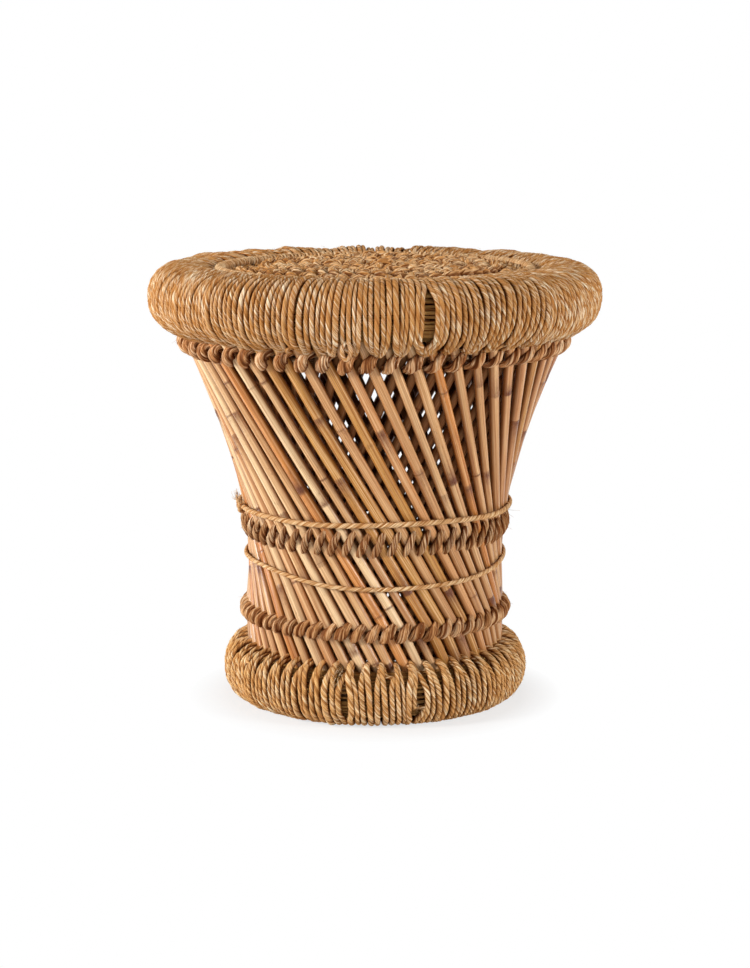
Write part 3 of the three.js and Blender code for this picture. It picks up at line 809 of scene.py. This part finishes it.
class MUDDA_OT_base_winding(Operator):
    """Winds the foot ring: thicker rope whose turns draw together between the canes"""

    bl_idname = "mudda.base_winding"
    bl_label = "Foot winding"

    def execute(self, context):
        winding, roll, pitch = sizes("mudda_winding"), foot_roll(), TURN / sizes("mudda_wall").canes
        rng = np.random.default_rng(SEED + 2)
        turns, rope = winding.base_turns, winding.base_rope
        angles = section_angles(-95, 120, 62, 24)
        progress, angle, azimuth, width = winding_points(rng, turns, angles)
        out, lift = roll.section(angle, rope / 2)
        ruffle = wobble(rng, azimuth, (20, 60), 0.005)
        azimuth = azimuth - 0.02 * np.sin(angle) + ruffle * np.sin(angle * 1.3)
        drawn = smooth_step(8 * DEG, 78 * DEG, angle)
        drawn *= 1 - smooth_step(125 * DEG, 170 * DEG, angle)
        offset = gap_offset(azimuth, wall_path(1, FOOT.high.z)[0], pitch)
        azimuth -= offset * pitch * 0.74 * drawn
        for centre, half_gap in FOOT_GAPS:
            away = around_from(azimuth, centre)
            opened = smooth_step(-0.85, -0.45, angle) * (1 - smooth_step(0.0, 0.8, angle))
            azimuth += np.sign(away) * half_gap / FOOT.high.x * opened * np.exp(-np.abs(away) / 0.06)
        sink = np.repeat(rng.uniform(-1, 0.4, turns), len(angles)) * 0.8 * MM + (width - 1) * 1.5 * MM
        radius = roll.radius + out * (1 + sink / (roll.half_width - rope / 2))
        height = roll.height + lift * (1 + np.maximum(sink, 0) / (roll.half_height - rope / 2))
        height += np.cos(offset * TURN) * drawn * 2.0 * MM
        normals = polar(np.cos(angle), azimuth, np.sin(angle))
        path = polar(radius, azimuth, height)
        tint = np.repeat(rng.beta(1.6, 1.6, turns), len(angles))
        size = rope * width * (0.86 - 0.06 * drawn) * (1 + wobble(rng, progress * 0.3, (3, 60), 0.06))
        lay = rope * np.repeat(rng.uniform(2.4, 4.0, turns), len(angles))
        for number, run in enumerate(cut_runs(len(path), 2), 1):
            tubes = rope_length(rng, run, 0.8, path, normals, size, lay, tint)
            tubes.press_down(FOOT.low.z)
            dressed(tubes, f"foot_rope_{number}", "foot_rope", "grass_rope", *nodes_named("base_winding"))
        return {"FINISHED"}


class MUDDA_OT_reeds(Operator):
    """Lays the reeds that fill the two rolls"""

    bl_idname = "mudda.reeds"
    bl_label = "Reeds"

    def execute(self, context):
        winding = sizes("mudda_winding")
        rng = np.random.default_rng(SEED + 3)
        rolls = (
            ("rim_reeds", "rim", rim_roll(), winding.rim_rope, 50),
            ("foot_reeds", "base", foot_roll(), winding.base_rope, 32),
        )
        azimuth = ring(180)
        for name, node, roll, rope, count in rolls:
            tubes = Tubes()
            for reed in range(count):
                angle = reed / count * TURN
                inset = rope + 0.9 * MM + winding.reed_diameter / 2 + rng.uniform(0, 1.5) * MM
                steps = roll.section(angle, inset)
                out, lift = (step + wobble(rng, azimuth, (2, 7), 0.6 * MM) for step in steps)
                path = polar(roll.radius + out, azimuth, roll.height + lift)
                normals = polar(math.cos(angle), azimuth, math.sin(angle))
                half = winding.reed_diameter / 2 * rng.uniform(0.7, 1.15)
                tubes.add(path, normals, half, half, Outline.round(6), rng.uniform(0, 1), closed=True)
            dressed(tubes, name, "reed", "reed", f"{node}_outer_bundle", f"{node}_inner_bundle")
        return {"FINISHED"}


# Places among the cane colours, from cream to olive, and the share of the canes at each
CANE_SHADES = {0.06: 0.13, 0.2: 0.26, 0.3: 0.15, 0.44: 0.16, 0.6: 0.14, 0.8: 0.07, 0.98: 0.09}


class MUDDA_OT_canes(Operator):
    """Stands up the two layers of leaning canes, each with its own thickness, shade and nodes"""

    bl_idname = "mudda.canes"
    bl_label = "Canes"

    def execute(self, context):
        wall = sizes("mudda_wall")
        for layer, outward, seed, slim in (("outer", 1, 4, 1.03), ("inner", -1, 5, 0.93)):
            rng = np.random.default_rng(SEED + seed)
            tubes = Tubes()
            low, high = CANES.low.z + wall.cane_diameter / 2, CANES.high.z - wall.cane_diameter / 2
            for cane in range(wall.canes):
                nodes = self.node_heights(rng, low, high)
                heights = self.ring_heights(nodes, low, high)
                azimuth, radius = wall_path(outward, heights)
                kinks = np.concatenate([[low], nodes, [high]])
                sway = np.interp(heights, kinks, rng.normal(0, 0.0055, len(kinks)))
                reach = np.interp(heights, kinks, rng.normal(0, 0.35 * MM, len(kinks)))
                start = cane / wall.canes * TURN
                path = polar(radius + reach, azimuth + sway + start, heights)
                normals = polar(1.0, azimuth + start, 0.0)
                half = wall.cane_diameter / 2 * np.clip(rng.normal(1.0, 0.085), 0.84, 1.13) * slim
                half = half * np.interp(heights, [low, high], 1 + rng.normal(0, 0.035, 2))
                mark = np.zeros(len(heights))
                for node in nodes:
                    past = heights - node
                    half = half * (1 + 0.075 * bell(past, 0, 2.8 * MM))
                    half = half * (1 - 0.05 * bell(past, 0, 0.7 * MM))
                    mark = np.maximum(mark, rng.uniform(0.3, 0.9) * bell(past, 0, 1.1 * MM))
                    reach_down = rng.uniform(4, 22) * MM
                    fade = np.exp(-np.abs(past) / reach_down) * (past * rng.choice([-1, 1]) > -3 * MM)
                    mark = np.maximum(mark, rng.uniform(0, 1.2) * fade)
                squash = rng.uniform(0.92, 1.0)
                shade = self.shade_of(rng)
                # The outline's shaded depths put painted shade on each cane's flanks.
                tubes.add(path, normals, half, half * squash, Outline.round(12, (-0.97, 0.32)), shade, mark)
            finish = "cane" if outward > 0 else "inner_cane"
            dressed(tubes, f"{layer}_canes", finish, "cane", *nodes_named(f"{layer}_canes"))
        return {"FINISHED"}

    def node_heights(self, rng, low, high):
        """Where a cane's nodes lie."""
        nodes = [low + rng.uniform(0.0, 0.12)]
        while nodes[-1] < high:
            nodes.append(nodes[-1] + rng.uniform(0.09, 0.17))
        return np.array(nodes[:-1])

    def ring_heights(self, nodes, low, high):
        """Heights of a cane's rings, close together at its nodes."""
        near = np.array([-6, -3, -1.4, -0.6, 0, 0.6, 1.4, 3, 6]) * MM
        heights = np.concatenate([np.linspace(low, high, 66), np.add.outer(nodes, near).ravel()])
        heights = np.unique(np.clip(heights, low, high).round(6))
        return heights[np.concatenate([[True], np.diff(heights) > 0.25 * MM])]

    def shade_of(self, rng):
        """A cane's place among the cane colours."""
        usual = rng.choice(list(CANE_SHADES), p=list(CANE_SHADES.values()))
        return float(np.clip(usual + rng.normal(0, 0.035), 0, 1))


# Bands

def twined_strand(rng, height, tall, rope, which, swell, steepness, thinner):
    """One of a row's two strands, over one cane and behind the next, all the way round.

    swell is how fat its loops get, steepness how far they lean and thinner what the right side loses.
    """
    wall = sizes("mudda_wall")
    share = np.arange(wall.canes * STRAND_STEPS) / STRAND_STEPS
    cycle = (share + which) * math.pi
    cane_azimuth, cane_radius = wall_path(1, height)
    azimuth = cane_azimuth - (share - 0.5 + steepness * np.cos(cycle)) * TURN / wall.canes
    lift = np.cos(cycle) * (tall / 2 - rope * 0.3)
    front = np.sin(cycle)
    uneven = rng.normal(0, 0.5 * MM, wall.canes + 1)
    level = height + lift + np.interp(share, np.arange(wall.canes + 1), uneven)
    low_radius, high_radius = wall_path(1, height - tall / 2)[1], wall_path(1, height + tall / 2)[1]
    middle = (low_radius + high_radius) / 2 - wall.layer_step / 2
    outside = cane_radius + wall.cane_diameter / 2 + rope * 0.16
    inside = cane_radius - wall.layer_step - wall.cane_diameter / 2 - rope * 0.2
    reach = np.where(front > 0, outside, inside) - middle
    radius = middle + reach * np.abs(front) ** 0.55 + lift * ((high_radius - low_radius) / tall)
    belly = bell(share % 1, 0.58, 0.3) * (front > 0)
    size = rope * (0.7 + swell * belly * np.repeat(rng.normal(1, 0.12, wall.canes), STRAND_STEPS))
    size = size * (1 - thinner * smooth_step(-0.1, 0.6, np.sin(azimuth)))
    tint = np.repeat(rng.beta(2, 2, wall.canes), STRAND_STEPS)
    return polar(radius, azimuth, level), polar(1.0, azimuth, 0.0), size, tint


class MUDDA_OT_bands(Operator):
    """Twines the three rows that bind the canes, two strands each"""

    bl_idname = "mudda.bands"
    bl_label = "Twined bands"

    def execute(self, context):
        bands = sizes("mudda_bands")
        rows = (
            ("upper", 6, 5 * MM, bands.upper_tall, bands.upper_rope, 3.6, (0.5, 0.14, 0.3)),
            ("waist", 7, -1.5 * MM, bands.waist_tall, bands.waist_rope, 4.2, (0.45, -0.04, 0.0)),
            ("lower", 8, 0.0, bands.lower_tall, bands.lower_rope, 4.4, (0.55, -0.04, 0.0)),
        )
        for row, seed, raised, tall, rope, lay, form in rows:
            rng = np.random.default_rng(SEED + seed)
            nodes = (f"{row}_band_outside", f"{row}_band_inside")
            height = Box(*nodes).height + raised
            tubes = Tubes()
            for which in range(2):
                path, normals, size, tint = twined_strand(rng, height, tall, rope, which, *form)
                outline = Outline.laid(rng, 0.7, 0.22, 11, (-0.6, 0.35))
                phase = rng.uniform(0, 6)
                tubes.add_rope(path, normals, size, lay * rope, outline, tint, phase, closed=True)
                for start in rng.integers(0, len(path) - 3, STRAND_HAIRS):
                    way = (path[start + 2] - path[start]) * rng.uniform(0.5, 1.5)
                    way = way + normals[start] * rng.uniform(0.5, 4) * MM
                    curl = rng.normal(0, 2.5, 3) * MM
                    skin = path[start] + normals[start] * size[start] * 0.46
                    tubes.add_hair(skin, way, curl, rng.uniform(0.14, 0.24) * MM)
            dressed(tubes, f"{row}_band", f"{row}_twine", "twine", *nodes)
        return {"FINISHED"}


class MUDDA_OT_cords(Operator):
    """Lays the two plain cords round the canes and ties the upper one"""

    bl_idname = "mudda.cords"
    bl_label = "Plain cords"

    def execute(self, context):
        bands = sizes("mudda_bands")
        rng = np.random.default_rng(SEED + 9)
        azimuth = ring(480)
        level = WAIST_CORD.height + wobble(rng, azimuth, (1, 4), 1.0 * MM)
        path = self.round_canes(rng, azimuth, level, bands.cord * 0.45, 0.5 * MM)
        laid = Outline.laid(rng, 0.82, shaded=(-0.3, 0.6))
        self.lay("waist_cord", path, azimuth, bands.cord, 3.6, laid)

        dip = ((1 + np.cos(azimuth - 0.2)) / 2) ** 3
        level = LOOSE_CORD.high.z - bands.cord / 2 - bands.cord_sag * dip
        level += wobble(rng, azimuth, (2, 6), 0.8 * MM)
        thick = bands.cord * 0.86
        path = self.round_canes(rng, azimuth, level, thick * 0.36, 0.4 * MM)
        self.lay("loose_cord", path, azimuth, thick, 4, laid)
        self.tie(rng, bands.cord, Outline.laid(rng, 0.8, shaded=(0.6, 1.2)))
        return {"FINISHED"}

    def round_canes(self, rng, azimuth, level, off, uneven):
        """A path round the canes, some way off their skin."""
        radius = wall_path(1, level)[1] + sizes("mudda_wall").cane_diameter / 2 + off
        return polar(radius + wobble(rng, azimuth, (3, 9), uneven), azimuth, level)

    def lay(self, node, path, azimuth, thick, lay, outline):
        """One cord, closed round the canes. lay is in thicknesses."""
        tubes = Tubes()
        tubes.add_rope(path, polar(1.0, azimuth, 0.0), thick, lay * thick, outline, 0.6, closed=True)
        dressed(tubes, f"{node}_laid", "cord", "cord", node)

    def tie(self, rng, cord, outline):
        """An overhand knot with two frayed ends, set in a little from its CAD box."""
        middle = np.array((KNOT.low + KNOT.high) / 2) * [0.93, 0.93, 1]
        out = unit(np.array([middle[0], middle[1], 0.0]))
        along = np.cross(UP, out)
        turn = ring(60)[:, None]
        size = (KNOT.high.z - KNOT.low.z) / 2 * 0.8
        sideways = (np.sin(turn) + 2 * np.sin(2 * turn)) / 3
        upward = (np.cos(turn) - 2 * np.cos(2 * turn)) / 3
        path = middle + size * 0.8 * (sideways * along + upward * UP - np.sin(3 * turn) * 0.6 * out)
        tubes = Tubes()
        tubes.add_rope(path, out, cord * 0.85, 16 * MM, outline, 0.6, closed=True)
        for hand in (-1, 1):
            share = np.linspace(0, 1, 12)[:, None]
            tail = middle + out * size * 0.6 + along * hand * size * (0.4 + 1.0 * share)
            tail += UP * size * 1.3 * share
            tubes.add_rope(tail, out, cord * (0.7 - 0.2 * share[:, 0]), 12 * MM, outline, 0.7)
            for _ in range(END_HAIRS):
                way = along * hand * rng.uniform(-2, 5) * MM + out * rng.uniform(-2, 4) * MM
                curl = UP * rng.uniform(1, 9) * MM
                tubes.add_hair(tail[-1] + rng.normal(0, 1.0, 3) * MM, way, curl, 0.3 * MM)
        dressed(tubes, "waist_knot_tied", "cord", "cord", "waist_cord_knot")


# Seat

PLAIT_LENGTH, EDGING_ROPE, EDGING_LAY = 46 * MM, 9 * MM, 30 * MM
WARP_ROPE, WARP_LAY, WARP_OFFSET = 4.2 * MM, 16 * MM, 2.2 * MM


def braid(tubes, rng, path, width, rope, tint):
    """Three strands plaited along a level path."""
    side = sides_of(path, UP, closed=False)[0]
    along = length_along(path)
    along = along + wobble(rng, along * 4, (5, 30), 5 * MM)
    for strand in range(3):
        phase = TURN * (along / PLAIT_LENGTH + strand / 3)
        sway = np.sin(phase) * (width / 2 - rope * 0.46)
        rise = np.sin(2 * phase) * rope * 0.42
        centre = path + side * sway[:, None] + UP * rise[:, None]
        thick = rope * (1 + wobble(rng, along * 3, (5, 60), 0.12))
        outline = Outline.laid(rng, 0.84, 0.14, 8, (-0.75, 0.15))
        # Painted light and shade: a strand is paler where it rises over the others and darker where it dips
        # under them.
        shade = np.clip(tint + 0.45 * np.sin(2 * phase), 0, 1)
        tubes.add_rope(centre, UP, thick * 1.14, 3.4 * rope, outline, shade, phase=rng.uniform(0, TURN))


class MUDDA_OT_seat(Operator):
    """Plaits the seat: rows laid round and round inside a wrapped hoop, on cords that cross underneath"""

    bl_idname = "mudda.seat"
    bl_label = "Seat"

    def execute(self, context):
        seat = sizes("mudda_seat")
        rng = np.random.default_rng(SEED + 10)
        hoop_radius = HOOP.high.x - (HOOP.high.z - HOOP.low.z) / 2
        self.wrap_hoop(seat, rng, hoop_radius, HOOP.height)
        outer = hoop_radius - seat.hoop_core / 2 - seat.hoop_rope
        loops = outer / seat.row_width - 0.35
        share = np.linspace(0, 1, int(loops * ROW_STEPS))
        radius = outer - (outer - seat.row_width * 0.3) * share
        azimuth = share * loops * TURN + seat.row_start
        radius = radius + wobble(rng, azimuth / loops, (7, 23), 0.9 * MM)
        level = COIL.height + wobble(rng, azimuth / loops, (9, 31), 0.9 * MM)
        left = bell(np.mod(azimuth, TURN), 240 * DEG, 0.8)
        outermost = 1 - smooth_step(0, 1.6 * seat.row_width, outer - radius)
        level = level - (6 + 9 * left) * MM * outermost
        radius = radius - 5 * MM * left * outermost
        tint = np.clip(0.5 + wobble(rng, azimuth / loops, (11, 47), 0.35), 0, 1)
        tubes = Tubes()
        braid(tubes, rng, polar(radius, azimuth, level), seat.row_width * 1.1, seat.row_rope, tint)
        edge = ring(360)
        for inset in (-1 * MM, 7 * MM):
            edging = polar(outer - inset + wobble(rng, edge, (5, 20), 1 * MM), edge, COIL.low.z - 1 * MM)
            tubes.add_plies(edging, UP, EDGING_ROPE, EDGING_LAY, Outline.fibrous(rng, 8), 0.3)
        dressed(tubes, "seat_rows", "seat", "grass_rope", "seat_coil")
        self.lay_warps(seat.warps, rng)
        return {"FINISHED"}

    def wrap_hoop(self, seat, rng, radius, height):
        """The rope wound closely round the hoop, and the hoop's core."""
        wraps = round(TURN * radius / seat.hoop_rope)
        turn = np.arange(wraps * WRAP_STEPS) / WRAP_STEPS
        azimuth = turn / wraps * TURN
        angle = turn * TURN
        reach = (seat.hoop_core + seat.hoop_rope) / 2
        path = polar(radius + reach * np.cos(angle), azimuth, height + reach * np.sin(angle))
        normals = polar(np.cos(angle), azimuth, np.sin(angle))
        tubes = Tubes()
        tint = 0.6 + 0.6 * np.repeat(rng.beta(2, 2, wraps), WRAP_STEPS)
        laid = Outline.laid(rng, 0.92, shaded=(-0.85, 0.1))
        tubes.add_rope(path, normals, seat.hoop_rope * 0.98, 5 * seat.hoop_rope, laid, tint, closed=True)
        half = seat.hoop_core / 2
        tubes.add(polar(radius, ring(180), height), UP, half, half, Outline.round(8), closed=True)
        dressed(tubes, "hoop_wrapping", "cord", "grass_rope", "seat_hoop")

    def lay_warps(self, warps, rng):
        """The cords under the seat, two side by side from edge to edge."""
        tubes = Tubes()
        height = WARPS.height
        reach = WARPS.high.x - 1 * MM
        for warp in range(warps // 2):
            heading = polar(1.0, warp / warps * TURN + 0.2, 0.0)
            across = np.cross(UP, heading)
            share = np.linspace(-1, 1, 120)[:, None]
            for beside in (-WARP_OFFSET, WARP_OFFSET):
                path = share * reach * heading + across * beside + UP * height
                path[:, 2] += wobble(rng, share[:, 0], (2, 6), 0.5 * MM)
                tubes.add_rope(path, UP, WARP_ROPE, WARP_LAY, Outline.laid(rng), rng.uniform(0, 1))
        dressed(tubes, "seat_warp_cords", "waist_twine", "twine", "seat_warps")


class MUDDA_OT_loose_fibres(Operator):
    """Scatters the stray fibres that stand off the rope"""

    bl_idname = "mudda.loose_fibres"
    bl_label = "Loose fibres"

    def execute(self, context):
        rng = np.random.default_rng(SEED + 11)
        tubes = Tubes()
        rolls = (
            (rim_roll(), RIM_HAIRS, (0, TURN), (-1.7, 1.9), 1.0),
            (foot_roll(), FOOT_HAIRS, (0, TURN), (-0.6, 1.7), 1.0),
            (foot_roll(), BROKEN_HAIRS, (-15.5 * DEG, -12.5 * DEG), (0.5, 1.2), 2.2),
        )
        for roll, count, around, span, stout in rolls:
            for _ in range(count):
                azimuth, angle = rng.uniform(*around), rng.uniform(*span)
                out, lift = roll.section(angle, 0.6 * MM)
                start = polar(roll.radius + out, azimuth, roll.height + lift)
                normal = polar(math.cos(angle), azimuth, math.sin(angle))
                round_roll = polar(-math.sin(angle), azimuth, math.cos(angle))
                sideways = polar(1.0, azimuth + math.pi / 2, 0.0)
                way = round_roll * rng.uniform(-9, 9) * MM + sideways * rng.normal(0, 2.5) * MM
                way = way + normal * rng.uniform(0.3, 1.6) * MM
                curl = -normal * rng.uniform(0, 1.5) * MM + sideways * rng.normal(0, 2) * MM
                tubes.add_hair(start, way, curl, rng.uniform(0.09, 0.17) * MM * stout)
        tubes.press_down(FOOT.low.z)
        piece = tubes.object("loose_fibres", finish_of("rope"))
        return {"FINISHED"}


# Stage

WHITE = (1.0, 1.0, 1.0, 1.0)
# Each soft lamp: its place, its width in metres and its power in watts
LAMPS = {
    "key": ((-2.65, -1.4, 1.25), 0.7, 88),
    "edge": ((-3.0, 0.5, 0.9), 0.5, 27),
    "side": ((2.6, -1.4, 0.95), 0.8, 59),
    "front": ((0.3, -3.2, 1.5), 1.2, 8),
    "top": ((-0.2, 0.0, 2.6), 1.0, 11),
}
CAMERA_PLACE, CAMERA_TARGET = (0.0, -2.3129, 0.6359), (0.0, 0.0, 0.215)
FOCAL_LENGTH, SENSOR_WIDTH = 86.7, 36
FLOOR_REACH = 6.0


class MUDDA_OT_stage(Operator):
    """Sets the pale floor, the soft lights and the camera"""

    bl_idname = "mudda.stage"
    bl_label = "Stage"

    def execute(self, context):
        context.scene.view_settings.view_transform = "Standard"
        self.floor()
        context.scene.world = self.world()
        for name, (place, width, power) in LAMPS.items():
            light = bpy.data.lights.new(name, "AREA")
            light.shape, light.size, light.energy = "DISK", width, power
            self.aim(add_object(name, light), place, (0, 0, RIM.high.z / 2))
        lens = bpy.data.cameras.new("camera")
        lens.lens, lens.sensor_width = FOCAL_LENGTH, SENSOR_WIDTH
        context.scene.camera = add_object("camera", lens)
        self.aim(context.scene.camera, CAMERA_PLACE, CAMERA_TARGET)
        return {"FINISHED"}

    def aim(self, made, place, target):
        """Puts a lamp or the camera at a place, turned to a target."""
        made.location = place
        made.rotation_euler = (Vector(target) - Vector(place)).to_track_quat("-Z", "Y").to_euler()

    def floor(self):
        """A pale floor that takes shadows near the stool and looks white further out."""
        shader = Shader(bpy.data.materials.new("pale_floor"))
        pale = shader.node("ShaderNodeBsdfDiffuse", {}, {"Color": (0.93, 0.93, 0.93, 1)})
        glow = shader.node("ShaderNodeEmission", {}, {"Color": WHITE, "Strength": 1.0})
        away = shader.node("ShaderNodeVectorMath", {"operation": "LENGTH"}, {0: shader.place()}, output=1)
        share = shader.spread(away, 0.1, 0.13) * 0.7 + shader.spread(away, 0.15, 0.19) * 0.3
        both = shader.node("ShaderNodeMixShader", {}, {0: share, 1: pale, 2: glow})
        mixed = shader.node("ShaderNodeMixShader", {}, {0: shader.seen(), 1: pale, 2: both})
        mesh = bpy.data.meshes.new("floor")
        corners = [(x * FLOOR_REACH, y * FLOOR_REACH, 0) for x, y in ((-1, -1), (1, -1), (1, 1), (-1, 1))]
        mesh.from_pydata(corners, [], [(0, 1, 2, 3)])
        mesh.materials.append(shader.finish(mixed))
        add_object("floor", mesh)

    def world(self):
        """A background that is seen white and lights the scene only a little."""
        shader = Shader(bpy.data.worlds.new("studio"))
        light = {"Color": (1.0, 0.98, 0.95, 1), "Strength": 0.15}
        dim = shader.node("ShaderNodeBackground", {}, light)
        white = shader.node("ShaderNodeBackground", {}, {"Color": WHITE})
        mixed = shader.node("ShaderNodeMixShader", {}, {0: shader.seen(), 1: dim, 2: white})
        return shader.finish(mixed, "World")


class MUDDA_PT_stool(Panel):
    """The stool's pieces, sizes and colours"""

    bl_idname = "MUDDA_PT_stool"
    bl_label = "Mudda Stool"
    bl_space_type = "VIEW_3D"
    bl_region_type = "UI"
    bl_category = "Mudda Stool"

    def draw(self, context):
        for operator in OPERATORS:
            self.layout.operator(operator.bl_idname)
        for name, group in GROUPS.items():
            box = self.layout.box()
            for prop in group.__annotations__:
                box.prop(getattr(context.scene, name), prop)


GROUPS = {
    "mudda_wall": WallSizes,
    "mudda_winding": WindingSizes,
    "mudda_bands": BandSizes,
    "mudda_seat": SeatSizes,
    "mudda_colours": FinishColours,
}
OPERATORS = (
    MUDDA_OT_stage,
    MUDDA_OT_rim_winding,
    MUDDA_OT_base_winding,
    MUDDA_OT_reeds,
    MUDDA_OT_canes,
    MUDDA_OT_bands,
    MUDDA_OT_cords,
    MUDDA_OT_seat,
    MUDDA_OT_loose_fibres,
)
CLASSES = (*GROUPS.values(), *OPERATORS, MUDDA_PT_stool)


def register():
    for kind in CLASSES:
        bpy.utils.register_class(kind)
    for name, group in GROUPS.items():
        setattr(bpy.types.Scene, name, PointerProperty(type=group))


def unregister():
    for name in GROUPS:
        delattr(bpy.types.Scene, name)
    for kind in reversed(CLASSES):
        bpy.utils.unregister_class(kind)


def main():
    register()
    for operator in OPERATORS:
        name = operator.bl_idname.split(".")[1]
        getattr(bpy.ops.mudda, name)()


if __name__ == "__main__":
    main()
